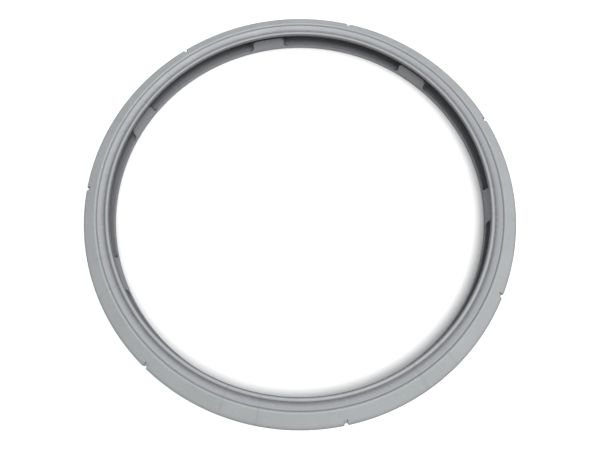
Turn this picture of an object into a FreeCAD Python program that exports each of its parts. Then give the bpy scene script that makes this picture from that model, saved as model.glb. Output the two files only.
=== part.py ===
import FreeCAD, Part
import os
import Sketcher

# Sealing ring of a stovetop pressure cooker: one silicone moulding, millimetres.
# It lies flat, its axis is Z, its underside is at z = 0 and its upper lip is on top.
# The section is a C that opens inwards. Seven spacer blocks stand in the channel, and
# seven vent notches cross the outer rim midway between them. A notch is on +Y.

SIZES = {
    "ring_diameter": 240.0,     # across the outer rim
    "ring_height": 16.6,        # underside to the crest of the top
    "section_width": 15.5,      # outer rim to the inner edge of the upper lip
    "outer_band": 8.3,          # outer rim to the crest, measured flat
    "outer_drop": 5.6,          # how far the outer band falls from the crest to the rim
    "inner_drop": 2.2,          # how far the inner band falls from the crest to the crease
    "crest_groove": 0.5,        # radius of the fine groove beside the crest
    "bead_radius": 1.2,         # round bead along the upper lip's edge
    "bead_rise": 1.1,           # how far the bead stands above the crease
    "lip_thickness": 2.0,       # upper lip beside the bead
    "lip_undercut": 0.7,        # how much the lip thickens towards its root
    "lower_setback": 2.0,       # lower lip's edge behind the upper lip's edge
    "lower_thickness": 2.8,     # lower lip
    "wall_thickness": 4.2,      # back wall between the channel and the outside
    "rim_height": 4.0,          # height of the outer rim's edge
    "rim_step": 1.4,            # how far the rim stands out from the wall below it
    "wall_taper": 0.8,          # how far the outer wall leans in towards the underside
    "rim_round": 1.3,
    "foot_round": 1.2,
    "lip_round": 0.5,
    "channel_round": 1.8,
    "repeat_count": 7,          # spacer blocks, and vent notches between them
    "block_width": 19.2,
    "block_clearance": 2.4,     # slot between a block's top and the upper lip
    "block_foot": 2.6,          # radius where a block's ends run into the lower lip
    "block_round": 1.5,         # radius of a block's upper corners
    "notch_width": 1.9,
    "notch_length": 3.2,        # how far a notch reaches in from the rim
    "notch_depth": 1.1,
}
ROOT_OVERLAP = 1.0              # how deep a block is rooted in the wall and the lower lip
TOOL_MARGIN = 3.0               # how far a cutting shape stands past what it cuts

# Radii and heights of the section, worked out from the sizes.
RIM_R = "sizes.ring_diameter / 2"
CREST_R = f"({RIM_R} - sizes.outer_band)"
LIP_R = f"({RIM_R} - sizes.section_width)"
BEAD_R = f"({LIP_R} + sizes.bead_radius)"
WALL_R = f"({RIM_R} - sizes.rim_step)"
FOOT_R = f"({WALL_R} - sizes.wall_taper)"
CHANNEL_R = f"({WALL_R} - sizes.wall_thickness)"
LOWER_R = f"({LIP_R} + sizes.lower_setback)"
UNDERSIDE_Z = "0"
CREST_Z = "sizes.ring_height"
RIM_Z = f"({CREST_Z} - sizes.outer_drop)"
RIM_FOOT_Z = f"({RIM_Z} - sizes.rim_height)"
WALL_TOP_Z = f"({RIM_FOOT_Z} - sizes.rim_step / 2)"
CREASE_R = f"({BEAD_R} + sizes.bead_radius)"
CREASE_Z = f"({CREST_Z} - sizes.inner_drop)"
INNER_SLOPE = f"(sizes.inner_drop / ({CREST_R} - {CREASE_R}))"
GROOVE_R = f"({CREST_R} - sizes.crest_groove)"
GROOVE_Z = f"({CREST_Z} - sizes.crest_groove * {INNER_SLOPE})"
BEAD_Z = f"({CREASE_Z} + sizes.bead_rise - sizes.bead_radius)"
LIP_UNDER_Z = f"({CREASE_Z} - sizes.lip_thickness)"
CEILING_Z = f"({LIP_UNDER_Z} - sizes.lip_undercut)"
FLOOR_Z = "sizes.lower_thickness"
BLOCK_TOP_Z = f"({LIP_UNDER_Z} - sizes.block_clearance)"

doc = FreeCAD.newDocument("sealing_ring")
sheet = doc.addObject("Spreadsheet::Sheet", "sizes")
for row, (name, value) in enumerate(SIZES.items(), start=1):
    sheet.set(f"A{row}", name)
    sheet.set(f"B{row}", str(value))
    sheet.setAlias(f"B{row}", name)
doc.recompute()


def size(expression):
    """The number that an expression of the sheet gives."""
    return float(sheet.evalExpression(expression.replace("sizes.", "")))


def origin_feature(body, role):
    return next(item for item in body.Origin.OriginFeatures if item.Role == role)


def new_sketch(body, name, role, offset=None):
    """A sketch on one of the body's origin planes, moved along the plane's normal."""
    sketch = body.newObject("Sketcher::SketchObject", name)
    sketch.AttachmentSupport = [(origin_feature(body, role), "")]
    sketch.MapMode = "FlatFace"
    if offset:
        sketch.setExpression("AttachmentOffset.Base.z", offset)
    doc.recompute()
    return sketch


def pin_point(sketch, edge, end, across, up):
    """Hold a point of a sketch at two distances from the origin, bound to the sheet."""
    for kind, expression in (("DistanceX", across), ("DistanceY", up)):
        index = sketch.addConstraint(
            Sketcher.Constraint(kind, -1, 1, edge, end, size(expression)))
        sketch.setExpression(f"Constraints[{index}]", expression)


def draw_polygon(sketch, corners):
    """A closed outline of straight lines through corners given as expressions."""
    points = [FreeCAD.Vector(size(across), size(up), 0) for across, up in corners]
    count = len(points)
    for index in range(count):
        line = Part.LineSegment(points[index], points[(index + 1) % count])
        sketch.addGeometry(line, False)
    for index in range(count):
        following = (index + 1) % count
        sketch.addConstraint(Sketcher.Constraint("Coincident", index, 2, following, 1))
    for index, (across, up) in enumerate(corners):
        pin_point(sketch, index, 1, across, up)


def draw_circle(sketch, across, up, radius):
    """A circle whose centre and radius are expressions."""
    centre = FreeCAD.Vector(size(across), size(up), 0)
    circle = Part.Circle(centre, FreeCAD.Vector(0, 0, 1), size(radius))
    sketch.addGeometry(circle, False)
    index = sketch.addConstraint(Sketcher.Constraint("Radius", 0, size(radius)))
    sketch.setExpression(f"Constraints[{index}]", radius)
    pin_point(sketch, 0, 3, across, up)


def turn(body, kind, name, sketch):
    """A full turn of a sketch about the ring's axis, adding or cutting."""
    feature = body.newObject(kind, name)
    feature.Profile = sketch
    feature.ReferenceAxis = (sketch, ["V_Axis"])
    feature.Angle = 360.0
    doc.recompute()
    return feature


def repeat(body, name, feature):
    """The feature, spread evenly round the ring's axis."""
    pattern = body.newObject("PartDesign::PolarPattern", name)
    pattern.Originals = [feature]
    pattern.Axis = (origin_feature(body, "Z_Axis"), [""])
    pattern.Angle = 360.0
    pattern.Refine = False
    pattern.setExpression("Occurrences", "sizes.repeat_count")
    body.Tip = pattern
    doc.recompute()
    return pattern


def round_circles(body, name, base, radius, places):
    """A fillet on the full circles that lie at the given radii and heights."""
    targets = [(size(across), size(up)) for across, up in places]
    edges = []
    for index, edge in enumerate(base.Shape.Edges, start=1):
        if not isinstance(edge.Curve, Part.Circle):
            continue
        found = (edge.Curve.Radius, edge.Curve.Center.z)
        if any(abs(found[0] - r) < 1e-4 and abs(found[1] - z) < 1e-4 for r, z in targets):
            edges.append(f"Edge{index}")
    if len(edges) != len(places):
        raise RuntimeError(f"{name}: {len(edges)} edges found for {len(places)} places")
    fillet = body.newObject("PartDesign::Fillet", name)
    fillet.Base = (base, edges)
    fillet.setExpression("Radius", radius)
    doc.recompute()
    return fillet


def make_section(body):
    """The C-shaped section, turned into a ring and rounded."""
    sketch = new_sketch(body, "section_sketch", "XZ_Plane")
    draw_polygon(sketch, [
        (FOOT_R, UNDERSIDE_Z),
        (WALL_R, WALL_TOP_Z),
        (RIM_R, RIM_FOOT_Z),
        (RIM_R, RIM_Z),
        (CREST_R, CREST_Z),
        (CREASE_R, CREASE_Z),
        (BEAD_R, CREASE_Z),
        (BEAD_R, LIP_UNDER_Z),
        (CHANNEL_R, CEILING_Z),
        (CHANNEL_R, FLOOR_Z),
        (LOWER_R, FLOOR_Z),
        (LOWER_R, UNDERSIDE_Z),
    ])
    ring = turn(body, "PartDesign::Revolution", "section", sketch)
    rounded = round_circles(body, "rim_edge", ring, "sizes.rim_round",
                            [(RIM_R, RIM_Z), (RIM_R, RIM_FOOT_Z)])
    rounded = round_circles(body, "foot_edge", rounded, "sizes.foot_round",
                            [(FOOT_R, UNDERSIDE_Z)])
    rounded = round_circles(body, "channel_corners", rounded, "sizes.channel_round",
                            [(CHANNEL_R, CEILING_Z), (CHANNEL_R, FLOOR_Z)])
    return round_circles(body, "lower_lip_edge", rounded, "sizes.lip_round",
                         [(LOWER_R, UNDERSIDE_Z), (LOWER_R, FLOOR_Z)])


def add_bead(body):
    """The round bead along the upper lip's inner edge."""
    sketch = new_sketch(body, "bead_sketch", "XZ_Plane")
    draw_circle(sketch, BEAD_R, BEAD_Z, "sizes.bead_radius")
    turn(body, "PartDesign::Revolution", "bead", sketch)


def cut_crest_groove(body):
    """The fine groove just inside the crest, where the inner band begins."""
    sketch = new_sketch(body, "crest_groove_sketch", "XZ_Plane")
    draw_circle(sketch, GROOVE_R, GROOVE_Z, "sizes.crest_groove")
    turn(body, "PartDesign::Groove", "crest_groove", sketch)


def add_blocks(body):
    """Spacer blocks across the channel, with ends that flare into the lower lip."""
    sketch = new_sketch(body, "block_sketch", "XZ_Plane", f"{LOWER_R} - {TOOL_MARGIN}")
    half, foot, bend = "sizes.block_width / 2", "sizes.block_foot", "sizes.block_round"
    base = f"({FLOOR_Z} - {ROOT_OVERLAP})"
    shoulder = f"({FLOOR_Z} + {foot})"
    bend_z = f"({BLOCK_TOP_Z} - {bend})"
    corners = [
        (f"-({half} + {foot})", base),
        (f"{half} + {foot}", base),
        (f"{half} + {foot}", FLOOR_Z),
        (half, shoulder),
        (half, bend_z),
        (f"{half} - {bend}", BLOCK_TOP_Z),
        (f"-({half} - {bend})", BLOCK_TOP_Z),
        (f"-({half})", bend_z),
        (f"-({half})", shoulder),
        (f"-({half} + {foot})", FLOOR_Z),
    ]
    points = [FreeCAD.Vector(size(across), size(up), 0) for across, up in corners]
    flares, bends = (2, 8), (4, 6)
    for index in range(len(points)):
        start, end = points[index], points[(index + 1) % len(points)]
        low, high = sorted((start, end), key=lambda point: point.y)
        if index in flares:
            shape = quarter_arc(start, end, FreeCAD.Vector(low.x, high.y, 0))
        elif index in bends:
            shape = quarter_arc(start, end, FreeCAD.Vector(high.x, low.y, 0))
        else:
            shape = Part.LineSegment(start, end)
        sketch.addGeometry(shape, False)
    for index, (across, up) in enumerate(corners):
        # An arc is kept anticlockwise, so a flare's ends are the other way round.
        first = 2 if index in flares else 1
        previous = (index - 1) % len(corners)
        last = 1 if previous in flares else 2
        sketch.addConstraint(Sketcher.Constraint("Coincident", previous, last, index, first))
        pin_point(sketch, index, first, across, up)
    for index in flares + bends:
        radius = foot if index in flares else bend
        bound = sketch.addConstraint(Sketcher.Constraint("Radius", index, size(radius)))
        sketch.setExpression(f"Constraints[{bound}]", radius)
    pad = body.newObject("PartDesign::Pad", "block")
    pad.Profile = sketch
    pad.setExpression("Length", f"{CHANNEL_R} - {LOWER_R} + {TOOL_MARGIN} + {ROOT_OVERLAP}")
    doc.recompute()
    return repeat(body, "blocks", pad)


def quarter_arc(start, end, centre):
    """The quarter circle about a centre that joins two points."""
    radius = (start - centre).Length
    outward = (start + end) * 0.5 - centre
    outward.normalize()
    return Part.Arc(start, centre + outward * radius, end)


def trim_blocks(body):
    """Cut the blocks' inner faces round, flush with the lower lip's edge."""
    sketch = new_sketch(body, "block_trim_sketch", "XZ_Plane")
    inner = f"({LIP_R} - {TOOL_MARGIN})"
    below = f"({UNDERSIDE_Z} - {TOOL_MARGIN})"
    above = f"({BLOCK_TOP_Z} + sizes.block_clearance / 3)"
    draw_polygon(sketch, [(inner, below), (LOWER_R, below), (LOWER_R, above), (inner, above)])
    turn(body, "PartDesign::Groove", "block_trim", sketch)


def cut_notches(body):
    """Vent notches that cross the outer shoulder and run down the rim's edge."""
    sketch = new_sketch(body, "notch_sketch", "YZ_Plane")
    slope = "(sizes.outer_drop / sizes.outer_band)"
    start = f"({RIM_R} - sizes.notch_length)"
    wall = f"({RIM_R} - sizes.notch_depth)"
    past = f"({RIM_R} + {TOOL_MARGIN})"
    start_z = f"({RIM_Z} + sizes.notch_length * {slope} - sizes.notch_depth)"
    wall_z = f"({RIM_Z} + sizes.notch_depth * {slope} - sizes.notch_depth)"
    below = f"({RIM_FOOT_Z} - {TOOL_MARGIN})"
    draw_polygon(sketch, [
        (start, start_z),
        (wall, wall_z),
        (wall, below),
        (past, below),
        (past, CREST_Z),
        (start, CREST_Z),
    ])
    pocket = body.newObject("PartDesign::Pocket", "notch")
    pocket.Profile = sketch
    pocket.SideType = "Symmetric"
    pocket.Refine = False       # joining split faces would spoil the rim's rounded edge
    pocket.setExpression("Length", "sizes.notch_width")
    doc.recompute()
    return repeat(body, "notches", pocket)


def check_document():
    """Stop if any object failed, or if the ring isn't one valid solid."""
    for item in doc.Objects:
        if "Invalid" in item.State or "Error" in item.State:
            raise RuntimeError(f"{item.Name} failed: {item.State}")
    for part in doc.findObjects("PartDesign::Body"):
        if part.Shape.isNull() or not part.Shape.isValid() or len(part.Shape.Solids) != 1:
            raise RuntimeError(f"{part.Label} is not one valid solid")


ring = doc.addObject("PartDesign::Body", "ring_body")
ring.Label = "sealing_ring"
make_section(ring)
add_bead(ring)
cut_crest_groove(ring)
before_blocks = ring.Shape.Volume
add_blocks(ring)
trim_blocks(ring)
before_notches = ring.Shape.Volume
cut_notches(ring)
doc.recompute()
if not before_blocks < before_notches or not ring.Shape.Volume < before_notches:
    raise RuntimeError("the blocks add nothing, or the notches cut nothing")
check_document()

os.makedirs("parts", exist_ok=True)
ring.Shape.exportStep(f"parts/{ring.Label}.step")
print(ring.Label, "volume", round(ring.Shape.Volume / 1000, 2), "cm3")
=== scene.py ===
import bmesh
import bpy
import math
from mathutils import Matrix, Vector


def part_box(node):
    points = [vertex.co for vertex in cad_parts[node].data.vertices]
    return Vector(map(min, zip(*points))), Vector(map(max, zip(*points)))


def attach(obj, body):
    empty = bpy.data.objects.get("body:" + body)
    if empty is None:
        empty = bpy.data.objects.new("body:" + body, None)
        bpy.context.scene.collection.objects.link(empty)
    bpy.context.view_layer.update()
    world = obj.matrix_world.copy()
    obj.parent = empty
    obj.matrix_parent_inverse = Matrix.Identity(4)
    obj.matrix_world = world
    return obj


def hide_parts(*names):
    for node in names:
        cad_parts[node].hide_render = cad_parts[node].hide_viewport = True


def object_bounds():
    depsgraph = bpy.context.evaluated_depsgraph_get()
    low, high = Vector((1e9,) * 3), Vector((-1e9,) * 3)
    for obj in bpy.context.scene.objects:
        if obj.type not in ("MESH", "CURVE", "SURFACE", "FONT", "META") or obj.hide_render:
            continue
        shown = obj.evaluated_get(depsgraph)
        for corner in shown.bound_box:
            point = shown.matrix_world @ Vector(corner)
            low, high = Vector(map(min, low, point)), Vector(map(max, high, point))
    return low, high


# A pressure-cooker sealing ring, moulded in grey silicone and lying flat. Metres; the ring's axis is Z.

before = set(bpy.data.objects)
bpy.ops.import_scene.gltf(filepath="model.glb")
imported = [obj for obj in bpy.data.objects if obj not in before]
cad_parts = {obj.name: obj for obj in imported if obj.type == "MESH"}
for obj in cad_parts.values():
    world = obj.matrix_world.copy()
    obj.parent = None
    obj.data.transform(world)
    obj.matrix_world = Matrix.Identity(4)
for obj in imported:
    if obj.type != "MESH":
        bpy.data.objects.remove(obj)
cad_low, cad_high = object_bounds()
MM = 0.001

# The ring's outside comes from the frame; its section repeats the design's own sizes.
RIM_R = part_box("sealing_ring")[1].x
CREST_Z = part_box("sealing_ring")[1].z
CREST_R = RIM_R - 8.3 * MM
RIM_Z = CREST_Z - 5.6 * MM
RIM_FOOT_Z = RIM_Z - 4.0 * MM
WALL_R = RIM_R - 1.4 * MM
FOOT_R = WALL_R - 0.8 * MM
LIP_R = RIM_R - 15.5 * MM
BEAD_RADIUS = 1.2 * MM
BEAD_R = LIP_R + BEAD_RADIUS
CREASE_R = BEAD_R + BEAD_RADIUS
CREASE_Z = CREST_Z - 2.2 * MM
BEAD_Z = CREASE_Z + 1.1 * MM - BEAD_RADIUS
LIP_UNDER_Z = CREASE_Z - 2.0 * MM
CEILING_Z = LIP_UNDER_Z - 0.7 * MM
CHANNEL_R = WALL_R - 4.2 * MM
LOWER_R = LIP_R + 2.0 * MM
FLOOR_Z = 2.8 * MM
BLOCK_TOP_Z = LIP_UNDER_Z - 2.4 * MM
REPEATS = 7
BLOCK_HALF = 9.6 * MM
BLOCK_FOOT = 2.6 * MM
BLOCK_ROUND = 1.5 * MM
NOTCH_HALF = 0.95 * MM
NOTCH_LENGTH = 3.2 * MM
NOTCH_DEPTH = 1.1 * MM
NOTCH_EDGE = 0.12 * MM
GROOVE_HALF = 0.52 * MM
GROOVE_DEPTH = 0.46 * MM
PARTING_RISE = 0.06 * MM
PARTING_HALF = 0.12 * MM
RIM_EDGE_R = RIM_R - PARTING_RISE - 0.01 * MM
STEP_RISE = 0.7 * MM

# Radii of the section's rounded corners.
RIM_ROUND = 1.3 * MM
EDGE_ROUND = 0.5 * MM
CREASE_ROUND = 0.22 * MM
LIP_ROUND = 0.25 * MM
CHANNEL_ROUND = 1.8 * MM
FOOT_ROUND = 1.2 * MM
STEP_ROUND = 0.3 * MM

# How far the painted shade reaches from the rim and from the crease, and round the bead in degrees.
RIM_FADE = 2.6 * MM
CREASE_FADE = 2.3 * MM
BEAD_PAINTED_SHADE_BELOW = 60
BEAD_PAINTED_SHADE_SPAN = 25

# How much painted shade each feature gets, from 0 to 1, and how steeply the rim's and the crease's
# painted shade fades.
RIM_PAINTED_SHADE = 0.85
UPRIGHT_EASE = 0.6
GROOVE_PAINTED_SHADE = 0.42
BEAD_PAINTED_SHADE = 0.85
LIP_EDGE_PAINTED_SHADE = 0.55
LIP_FACE_PAINTED_SHADE = 0.15
BLOCK_MOUTH_PAINTED_SHADE = 1.0
BLOCK_FOOT_PAINTED_SHADE = 0.3
NOTCH_WALL_PAINTED_SHADE = 0.6
RIM_FALL = 2.2
CREASE_FALL = 1.6

SHARP_ANGLE = math.radians(38)
MERGE_DISTANCE = 1e-6

# What each stretch of the section does where a block or a notch crosses it.
PLAIN, SHOULDER, INNER_FACE, FLOOR, BACK = range(5)


# ---------------------------------------------------------------- the section

def straight(start, end, count, crown=0.0):
    """Points from start up to, but without, end. crown swells the line to its left."""
    dx, dz = end[0] - start[0], end[1] - start[1]
    length = math.hypot(dx, dz)
    points = []
    for index in range(count):
        share = index / count
        swell = crown * math.sin(math.pi * share)
        points.append((start[0] + dx * share - dz / length * swell,
                       start[1] + dz * share + dx / length * swell))
    return points


def arc(centre, radius, start, end, count):
    """Points on an arc, from one angle in degrees to another, both included."""
    points = []
    for index in range(count + 1):
        angle = math.radians(start + (end - start) * index / count)
        points.append((centre[0] + radius * math.cos(angle),
                       centre[1] + radius * math.sin(angle)))
    return points


def corner(before, at, after, radius, count):
    """An arc of that radius, tangent to both lines that meet at a corner."""
    at = Vector(at)
    back = (Vector(before) - at).normalized()
    ahead = (Vector(after) - at).normalized()
    half = back.angle(ahead) / 2
    centre = at + (back + ahead).normalized() * (radius / math.sin(half))
    reach = radius / math.tan(half)
    first, last = at + back * reach - centre, at + ahead * reach - centre
    start = math.degrees(math.atan2(first.y, first.x))
    turn = math.degrees(math.atan2(first.x * last.y - first.y * last.x, first.dot(last)))
    return arc(centre, radius, start, start + turn, count)


def section():
    """The closed outline as (radius, height, stretch), anticlockwise from the rim's foot."""
    outline = []

    def add(points, stretch=PLAIN):
        outline.extend((r, z, stretch) for r, z in points)

    band_start = (RIM_EDGE_R, RIM_Z)
    crest = (CREST_R, CREST_Z)
    crease = (CREASE_R, CREASE_Z)
    slope = (CREST_Z - RIM_Z) / (RIM_R - CREST_R)
    notch_r = RIM_R - NOTCH_LENGTH
    notch_z = RIM_Z + NOTCH_LENGTH * slope
    step = (WALL_R, RIM_FOOT_Z - STEP_RISE)
    rim_foot = (RIM_EDGE_R, RIM_FOOT_Z)
    parting_z = (RIM_Z + RIM_FOOT_Z) / 2

    # Rim: its foot, its upright edge with a faint parting line, and its rounded shoulder.
    add(corner(step, rim_foot, band_start, EDGE_ROUND, 5), SHOULDER)
    add([(RIM_EDGE_R, parting_z - PARTING_HALF), (RIM_EDGE_R + PARTING_RISE, parting_z),
         (RIM_EDGE_R, parting_z + PARTING_HALF)], SHOULDER)
    shoulder = corner(rim_foot, band_start, crest, RIM_ROUND, 9)
    add(shoulder, SHOULDER)
    add(straight(shoulder[-1], (notch_r, notch_z), 6)[1:], SHOULDER)
    add([(notch_r + 0.02 * MM, notch_z - 0.02 * MM * slope)], SHOULDER)

    # Outer band up to the crest, then the fine groove where the inner band begins. Each pair is a
    # place across the groove, as a share of its half width, and how much of its depth it has there.
    add(straight((notch_r, notch_z), crest, 14)[:-1])
    add(corner((notch_r, notch_z), crest, crease, EDGE_ROUND, 4))
    inner_slope = (CREST_Z - CREASE_Z) / (CREST_R - CREASE_R)
    groove_r = CREST_R - 2.2 * GROOVE_HALF
    for place, sink in ((1.0, 0.0), (0.62, 0.12), (0.35, 0.72), (0.0, 1.0),
                        (-0.35, 0.72), (-0.62, 0.12), (-1.0, 0.0)):
        r = groove_r + place * GROOVE_HALF
        z = CREST_Z - (CREST_R - r) * inner_slope - sink * GROOVE_DEPTH
        add([(r, z)])

    # Inner band, the crease, and the bead that edges the upper lip.
    band_r = groove_r - GROOVE_HALF
    band_z = CREST_Z - (CREST_R - band_r) * inner_slope
    bead = arc((BEAD_R, BEAD_Z), BEAD_RADIUS, 18.0, 264.0, 23)
    above_bead = (bead[0][0], bead[0][1] + 1.0 * MM)
    valley = corner((band_r, band_z), crease, above_bead, CREASE_ROUND, 4)
    add(straight((band_r, band_z), valley[0], 12, crown=0.08 * MM)[1:])
    add(valley)
    add(bead)

    # Underside of the upper lip, the channel's back wall and its floor.
    under_bead = (BEAD_R, LIP_UNDER_Z)
    ceiling = (CHANNEL_R, CEILING_Z)
    back_foot = (CHANNEL_R, FLOOR_Z)
    lip_edge = (LOWER_R, FLOOR_Z)
    lip_corner = corner(bead[-1], under_bead, ceiling, LIP_ROUND, 2)
    ceiling_arc = corner(under_bead, ceiling, back_foot, CHANNEL_ROUND, 6)
    add(lip_corner)
    add(straight(lip_corner[-1], ceiling_arc[0], 7)[1:])
    add(ceiling_arc, BACK)
    floor_arc = corner(ceiling, back_foot, lip_edge, CHANNEL_ROUND, 6)
    add(straight(ceiling_arc[-1], floor_arc[0], 6)[1:], BACK)
    add(floor_arc, BACK)

    # Lower lip: its top, its rounded edge, its inner face and its underside.
    lip_top = corner(back_foot, lip_edge, (LOWER_R, 0.0), EDGE_ROUND, 5)
    add(straight(floor_arc[-1], lip_top[0], 7)[1:], FLOOR)
    add(lip_top, FLOOR)
    lip_foot = corner(lip_edge, (LOWER_R, 0.0), (FOOT_R, 0.0), EDGE_ROUND, 5)
    add(straight(lip_top[-1], lip_foot[0], 5)[1:], INNER_FACE)
    add(lip_foot)
    foot = corner((LOWER_R, 0.0), (FOOT_R, 0.0), step, FOOT_ROUND, 6)
    add(straight(lip_foot[-1], foot[0], 8)[1:])

    # Outer wall up to the step under the rim.
    add(foot)
    under_rim = corner((FOOT_R, 0.0), step, rim_foot, STEP_ROUND, 3)
    add(straight(foot[-1], under_rim[0], 6)[1:])
    add(under_rim)
    return outline


# ---------------------------------------------------------------- blocks and notches

def floor_height(gap):
    """Height of the channel's floor at a distance from a block's end, outside it positive."""
    if gap >= BLOCK_FOOT:
        return FLOOR_Z
    if gap > 0:
        return FLOOR_Z + BLOCK_FOOT - math.sqrt(BLOCK_FOOT ** 2 - (BLOCK_FOOT - gap) ** 2)
    if gap > -BLOCK_ROUND:
        return BLOCK_TOP_Z - BLOCK_ROUND + math.sqrt(BLOCK_ROUND ** 2 - (BLOCK_ROUND + gap) ** 2)
    return BLOCK_TOP_Z


def notch_share(distance):
    """How deep the notch is cut at a distance from its middle, from 0 to 1, with softened edges."""
    edge = (distance - NOTCH_HALF) / NOTCH_EDGE
    if edge <= -1:
        return 1.0
    return max(0.0, 0.12 * (1.0 - edge / 3.0)) if edge > 0 else 0.96


def notch_floor(r, z):
    """Where a point of the rim's shoulder lies once the notch is cut."""
    slope = (CREST_Z - RIM_Z) / (RIM_R - CREST_R)
    wall_r = RIM_R - NOTCH_DEPTH
    turn_z = RIM_Z + NOTCH_DEPTH * slope
    if z > turn_z:
        return min(r, wall_r), z - NOTCH_DEPTH
    share = (z - RIM_FOOT_Z) / (turn_z - RIM_FOOT_Z)
    return min(r, wall_r), RIM_FOOT_Z + share * (turn_z - NOTCH_DEPTH - RIM_FOOT_Z)


def shape_point(r, z, stretch, block_gap, notch_distance):
    """Move one point of the plain section for the block or the notch that crosses it."""
    if stretch == SHOULDER:
        share = notch_share(notch_distance)
        sunk_r, sunk_z = notch_floor(r, z)
        return r + (sunk_r - r) * share, z + (sunk_z - z) * share
    level = floor_height(block_gap)
    if level <= FLOOR_Z or stretch == PLAIN:
        return r, z
    if stretch == BACK:
        share = (z - FLOOR_Z) / (CEILING_Z - FLOOR_Z)
        return r, level + share * (CEILING_Z - level)
    if stretch == FLOOR:
        return r, z + level - FLOOR_Z
    low, high = EDGE_ROUND, FLOOR_Z - EDGE_ROUND
    share = (z - low) / (high - low)
    return r, low + share * (high + level - FLOOR_Z - low)


def half_unit():
    """Distances along the ring, from a block's middle to a notch's middle, one per slice."""
    reach = math.pi * LOWER_R / REPEATS
    inside = [BLOCK_HALF * share for share in (0.0, 0.2, 0.4, 0.6, 0.8, 0.92)]
    rounded = [BLOCK_HALF - BLOCK_ROUND * share for share in (1.0, 0.72, 0.46, 0.24, 0.1, 0.02)]
    face = [BLOCK_HALF - 0.003 * MM, BLOCK_HALF + 0.003 * MM]
    flare = [BLOCK_HALF + BLOCK_FOOT * (1 - math.cos(math.radians(15 * step)))
             for step in range(1, 7)]
    scale = LOWER_R / RIM_R
    # Slices crowd at the notch's wall; these are millimetres from its middle.
    notch_edge = [reach - distance * MM * scale
                  for distance in (2.2, 1.5, 1.3, 1.12, 1.0, 0.952, 0.83, 0.4)]
    start, end, count = flare[-1], notch_edge[0], 14
    pocket = [start + (end - start) * step / count for step in range(1, count)]
    return inside + rounded + face + flare + pocket + notch_edge + [reach]


# ---------------------------------------------------------------- the mesh

def spin_slice(bm, edge_loop, angle):
    """Carry the last section on round the axis by one slice."""
    geometry = [item for item in edge_loop if item.is_valid]
    result = bmesh.ops.spin(bm, geom=geometry, cent=(0, 0, 0), axis=(0, 0, 1), angle=angle,
                            steps=1, use_merge=False, use_duplicate=False)
    return result["geom_last"]


def channel_shade(r, z):
    """How much painted shade a point of the channel gets: the deeper and the higher in it, the more."""
    within_height = FLOOR_Z - 0.3 * MM < z < LIP_UNDER_Z + 0.3 * MM
    within_depth = LOWER_R - 0.2 * MM < r < CHANNEL_R + 0.1 * MM
    if not (within_height and within_depth):
        return 0.0
    inward = max(0.0, (r - LOWER_R) / (CHANNEL_R - LOWER_R))
    upward = max(0.0, (z - FLOOR_Z) / (CEILING_Z - FLOOR_Z))
    return min(1.0, 0.05 + 0.9 * upward + 0.15 * inward)


def line_shade(r, z):
    """How much painted shade a point of the plain section gets: groove, crease, rim, bead and lower
    lip's edge.
    """
    # Painted shade on the rim's rounded edge, lighter on its upright face.
    rim = max(0.0, (r - RIM_R + RIM_FADE) / RIM_FADE)
    upright = max(0.0, min(1.0, (RIM_Z - 0.4 * MM - z) / (0.8 * MM)))
    shades = [0.0, (RIM_PAINTED_SHADE - UPRIGHT_EASE * upright) * rim ** RIM_FALL]
    # Painted shade in the fine groove and along the crease.
    if z > LIP_UNDER_Z:
        groove = 1.0 - abs(r - CREST_R + 2.2 * GROOVE_HALF) / (0.9 * GROOVE_HALF)
        from_crease = math.hypot(r - CREASE_R - 0.3 * MM, z - CREASE_Z - 0.1 * MM)
        crease = max(0.0, 1.0 - from_crease / CREASE_FADE)
        shades += [GROOVE_PAINTED_SHADE * groove, crease ** CREASE_FALL]
    # Painted shade on the bead's lower inner side and under the upper lip's edge.
    on_bead = math.hypot(r - BEAD_R, z - BEAD_Z) < BEAD_RADIUS + 0.05 * MM
    bead_turn = math.degrees(math.atan2(z - BEAD_Z, BEAD_R - r))
    if on_bead and bead_turn < BEAD_PAINTED_SHADE_BELOW:
        shades.append(BEAD_PAINTED_SHADE * min(1.0, (BEAD_PAINTED_SHADE_BELOW - bead_turn) / BEAD_PAINTED_SHADE_SPAN))
    if r < LOWER_R and LIP_UNDER_Z - 0.3 * MM < z < BEAD_Z:
        shades.append(BEAD_PAINTED_SHADE)
    # Painted shade along the lower lip's top edge, a little on its inner face.
    if abs(r - LOWER_R) < 0.6 * MM and z < FLOOR_Z + 0.2 * MM:
        shades.append(LIP_EDGE_PAINTED_SHADE if z > FLOOR_Z - EDGE_ROUND else LIP_FACE_PAINTED_SHADE)
    return max(shades)


def wall_shade(block_gap, notch_distance, r, stretch):
    """How much painted shade a point gets on a block's rounded end, on its flared foot or on a notch's
    wall.
    """
    # Painted shade at a block's rounded end and along its flared foot, darkest by the lip's edge.
    if stretch == FLOOR and -BLOCK_ROUND < block_gap < BLOCK_FOOT:
        return BLOCK_MOUTH_PAINTED_SHADE if r < LOWER_R + 0.9 * MM else BLOCK_FOOT_PAINTED_SHADE
    # Painted shade on a notch's walls.
    if stretch == SHOULDER and 0.1 < notch_share(notch_distance) < 1.0:
        return NOTCH_WALL_PAINTED_SHADE
    return 0.0


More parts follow.
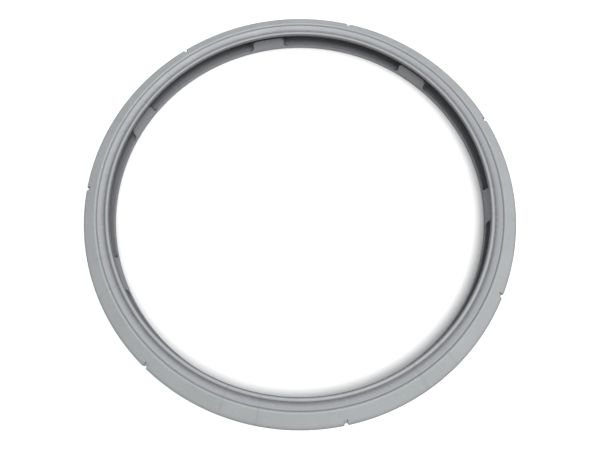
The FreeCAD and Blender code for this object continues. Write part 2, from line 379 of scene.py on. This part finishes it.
def build_ring():
    """One repeat of the ring, spun in uneven slices and shaped, then copied round the axis."""
    bm = bmesh.new()
    station = bm.verts.layers.int.new("station")
    shade = bm.verts.layers.float.new("shade")
    outline = section()
    verts = []
    for index, (r, z, stretch) in enumerate(outline):
        vert = bm.verts.new((r, 0, z))
        vert[station] = index
        verts.append(vert)
    last = [bm.edges.new((verts[index - 1], verts[index])) for index in range(len(verts))]
    last += verts

    half = half_unit()
    distances = [-value for value in reversed(half)] + half[1:]
    unit_angle = 2 * math.pi / REPEATS
    for before, after in zip(distances, distances[1:]):
        last = spin_slice(bm, last, (after - before) / LOWER_R)

    for vert in bm.verts:
        angle = math.atan2(vert.co.y, vert.co.x) - unit_angle / 2
        r, z, stretch = outline[vert[station]]
        block_gap = abs(angle) * LOWER_R - BLOCK_HALF
        notch_distance = (unit_angle / 2 - abs(angle)) * RIM_R
        # Painted shade: how darkly each point's colour is painted for shade, kept in the shade
        # attribute.
        painted_shade = max(line_shade(r, z), wall_shade(block_gap, notch_distance, r, stretch))
        r, z = shape_point(r, z, stretch, block_gap, notch_distance)
        vert[shade] = max(painted_shade, channel_shade(r, z))
        turned = angle - math.pi / 2
        vert.co = (r * math.cos(turned), r * math.sin(turned), z)

    unit = bm.verts[:] + bm.edges[:] + bm.faces[:]
    for turn in range(1, REPEATS):
        copy = bmesh.ops.duplicate(bm, geom=unit)
        fresh = [item for item in copy["geom"] if isinstance(item, bmesh.types.BMVert)]
        rotation = Matrix.Rotation(turn * unit_angle, 3, "Z")
        bmesh.ops.rotate(bm, verts=fresh, cent=(0, 0, 0), matrix=rotation)
    bmesh.ops.remove_doubles(bm, verts=bm.verts[:], dist=MERGE_DISTANCE)
    bmesh.ops.recalc_face_normals(bm, faces=bm.faces[:])

    for face in bm.faces:
        face.smooth = True
    for edge in bm.edges:
        if len(edge.link_faces) == 2 and edge.calc_face_angle(0.0) > SHARP_ANGLE:
            edge.smooth = False
    mesh = bpy.data.meshes.new("silicone_ring")
    bm.to_mesh(mesh)
    bm.free()
    ring = bpy.data.objects.new("silicone_ring", mesh)
    bpy.context.scene.collection.objects.link(ring)
    return ring


# ---------------------------------------------------------------- the silicone

BAND_GREY = (0.200, 0.209, 0.212, 1)
CLOUD_GREY = (0.181, 0.193, 0.195, 1)
INNER_GREY = (0.186, 0.194, 0.205, 1)
MOTTLE_GREY = (0.234, 0.243, 0.246, 1)
GRAIN_GREY = (0.117, 0.123, 0.126, 1)
# Near-black grey of the painted shade.
PAINTED_SHADE_GREY = (0.052, 0.046, 0.048, 1)
DUST_GREY = (0.46, 0.47, 0.46, 1)
TURNING_PITCH = 0.33 * MM


class Nodes:
    """Adds shader nodes and joins them, in the order in which they are written."""

    def __init__(self, name):
        self.material = bpy.data.materials.new(name)
        self.material.use_nodes = True
        self.tree = self.material.node_tree
        self.shader = self.tree.nodes["Principled BSDF"]

    def add(self, kind, settings=None, **inputs):
        node = self.tree.nodes.new(kind)
        for key, value in (settings or {}).items():
            setattr(node, key, value)
        for key, value in inputs.items():
            self.feed(node, key.replace("_", " "), value)
        return node

    def feed(self, node, socket, value):
        if isinstance(value, bpy.types.NodeSocket):
            self.tree.links.new(value, node.inputs[socket])
        else:
            node.inputs[socket].default_value = value

    def maths(self, operation, first, second=0.0):
        node = self.tree.nodes.new("ShaderNodeMath")
        node.operation = operation
        self.feed(node, 0, first)
        self.feed(node, 1, second)
        return node.outputs[0]

    def noise(self, place, scale, detail=4.0, roughness=0.55):
        node = self.add("ShaderNodeTexNoise", Vector=place, Scale=scale, Detail=detail,
                        Roughness=roughness)
        return node.outputs["Fac"]

    def spread(self, value, low, high, to_low=0.0, to_high=1.0):
        node = self.tree.nodes.new("ShaderNodeMapRange")
        for socket, number in (("Value", value), ("From Min", low), ("From Max", high),
                               ("To Min", to_low), ("To Max", to_high)):
            self.feed(node, socket, number)
        return node.outputs["Result"]

    def blend(self, share, first, second):
        node = self.tree.nodes.new("ShaderNodeMix")
        node.data_type = "RGBA"
        self.feed(node, 0, share)
        self.feed(node, 6, first)
        self.feed(node, 7, second)
        return node.outputs[2]


def silicone():
    """Satin grey silicone: soft mottling, painted shade in the channel and along its lines, dust, and
    the mould's turned finish.
    """
    nodes = Nodes("grey_silicone")
    place = nodes.add("ShaderNodeTexCoord").outputs["Object"]
    parts = nodes.add("ShaderNodeSeparateXYZ", Vector=place)
    flat = nodes.add("ShaderNodeCombineXYZ", X=parts.outputs["X"], Y=parts.outputs["Y"])
    length = nodes.add("ShaderNodeVectorMath", {"operation": "LENGTH"}, Vector=flat.outputs[0])
    radius = length.outputs["Value"]
    painted_shade_amount = nodes.add("ShaderNodeAttribute", {"attribute_name": "shade"}).outputs["Fac"]

    clouds = nodes.spread(nodes.noise(place, 38.0, 3.0), 0.35, 0.65)
    mottle = nodes.spread(nodes.noise(place, 420.0, 5.0, 0.65), 0.3, 0.7)
    grain = nodes.spread(nodes.noise(place, 2600.0, 2.0), 0.3, 0.7)

    pale = nodes.blend(clouds, BAND_GREY, CLOUD_GREY)
    outer = nodes.spread(radius, CREST_R - 0.6 * MM, CREST_R + 0.2 * MM)
    tinted = nodes.blend(outer, INNER_GREY, pale)
    mottled = nodes.blend(nodes.spread(mottle, 0.0, 1.0, 0.0, 0.22), tinted, MOTTLE_GREY)
    grained = nodes.blend(nodes.spread(grain, 0.0, 1.0, 0.0, 0.10), mottled, GRAIN_GREY)
    # Painted shade: the shade attribute darkens the colour towards a near-black grey, slightly
    # unevenly.
    painted_shade_share = nodes.maths("MULTIPLY", painted_shade_amount, nodes.spread(mottle, 0.0, 1.0, 0.75, 1.0))
    painted_shade = nodes.blend(painted_shade_share, grained, PAINTED_SHADE_GREY)
    specks = nodes.spread(nodes.noise(place, 1500.0, 1.0, 0.3), 0.735, 0.76)
    dusty = nodes.blend(nodes.maths("MULTIPLY", specks, 0.35), painted_shade, DUST_GREY)
    nodes.feed(nodes.shader, "Base Color", dusty)

    gloss = nodes.spread(nodes.noise(place, 90.0, 4.0), 0.3, 0.7, 0.47, 0.60)
    rubbed = nodes.maths("ADD", gloss, nodes.spread(mottle, 0.0, 1.0, -0.03, 0.05))
    nodes.feed(nodes.shader, "Roughness", rubbed)
    nodes.feed(nodes.shader, "Specular IOR Level", 0.42)
    nodes.feed(nodes.shader, "Subsurface Weight", 0.10)
    nodes.feed(nodes.shader, "Subsurface Radius", (0.0012, 0.0011, 0.0010))
    nodes.feed(nodes.shader, "Subsurface Scale", 1.0)

    turned = nodes.maths("SINE", nodes.maths("MULTIPLY", radius, 2 * math.pi / TURNING_PITCH))
    uneven = nodes.spread(nodes.noise(place, 60.0, 2.0), 0.4, 0.7)
    rings = nodes.maths("MULTIPLY", turned, uneven)
    relief = nodes.maths("ADD", nodes.maths("MULTIPLY", rings, 0.25), grain)
    relief = nodes.maths("ADD", relief, nodes.maths("MULTIPLY", mottle, 0.8))
    bump = nodes.add("ShaderNodeBump", Height=relief, Strength=0.35, Distance=0.00004)
    nodes.feed(nodes.shader, "Normal", bump.outputs["Normal"])
    return nodes.material


# ---------------------------------------------------------------- floor, light and camera

FLOOR_GREY = (0.62, 0.62, 0.62, 1)
FLOOR_PALE = (0.65, 0.65, 0.65, 1)
SKY_WHITE = (0.96, 0.98, 1.0, 1)
SKY_STRENGTH = 0.56


def floor():
    """A plain pale floor just under the ring."""
    bm = bmesh.new()
    bmesh.ops.create_grid(bm, x_segments=1, y_segments=1, size=3.0)
    mesh = bpy.data.meshes.new("floor")
    bm.to_mesh(mesh)
    bm.free()
    sheet = bpy.data.objects.new("floor", mesh)
    sheet.location.z = cad_low.z - 0.02 * MM
    bpy.context.scene.collection.objects.link(sheet)
    nodes = Nodes("pale_floor")
    place = nodes.add("ShaderNodeTexCoord").outputs["Object"]
    soft = nodes.spread(nodes.noise(place, 6.0, 2.0), 0.3, 0.7)
    nodes.feed(nodes.shader, "Base Color", nodes.blend(soft, FLOOR_GREY, FLOOR_PALE))
    nodes.feed(nodes.shader, "Roughness", 0.9)
    mesh.materials.append(nodes.material)


def soft_light(name, place, target, size, power):
    """A round soft lamp that faces its target; size in metres, power in watts."""
    lamp = bpy.data.lights.new(name, "AREA")
    lamp.shape = "DISK"
    lamp.size = size
    lamp.energy = power
    light = bpy.data.objects.new(name, lamp)
    light.location = place
    light.rotation_euler = (Vector(target) - Vector(place)).to_track_quat("-Z", "Y").to_euler()
    bpy.context.scene.collection.objects.link(light)


def studio():
    """Even sky light with one large soft lamp above, to the right of the view."""
    world = bpy.data.worlds.new("studio")
    world.use_nodes = True
    background = world.node_tree.nodes["Background"]
    background.inputs["Color"].default_value = SKY_WHITE
    background.inputs["Strength"].default_value = SKY_STRENGTH
    bpy.context.scene.world = world
    soft_light("key", place=(0.20, -0.09, 1.0), target=(0, 0, 0), size=0.8, power=20.0)
    bpy.context.scene.view_settings.view_transform = "Standard"


def camera():
    """Close above the ring, leaning a little towards the viewer's side."""
    azimuth = math.radians(14.87)
    lean = math.radians(20.0)
    drop = math.radians(3.87)
    centre = Vector((0, 0, RIM_Z))
    towards = Vector((math.sin(azimuth), -math.cos(azimuth), 0))
    distance = 2.0 * RIM_R
    place = centre + distance * (towards * math.sin(lean) + Vector((0, 0, math.cos(lean))))
    back = towards * math.sin(lean - drop) + Vector((0, 0, math.cos(lean - drop)))
    data = bpy.data.cameras.new("camera")
    data.lens = 25.7
    data.sensor_width = 36.0
    data.clip_start = 0.01
    eye = bpy.data.objects.new("camera", data)
    eye.location = place
    eye.rotation_euler = back.to_track_quat("Z", "Y").to_euler()
    bpy.context.scene.collection.objects.link(eye)
    bpy.context.scene.camera = eye


camera()
studio()
floor()
ring = build_ring()
ring.data.materials.append(silicone())
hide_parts("sealing_ring")
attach(ring, "root")
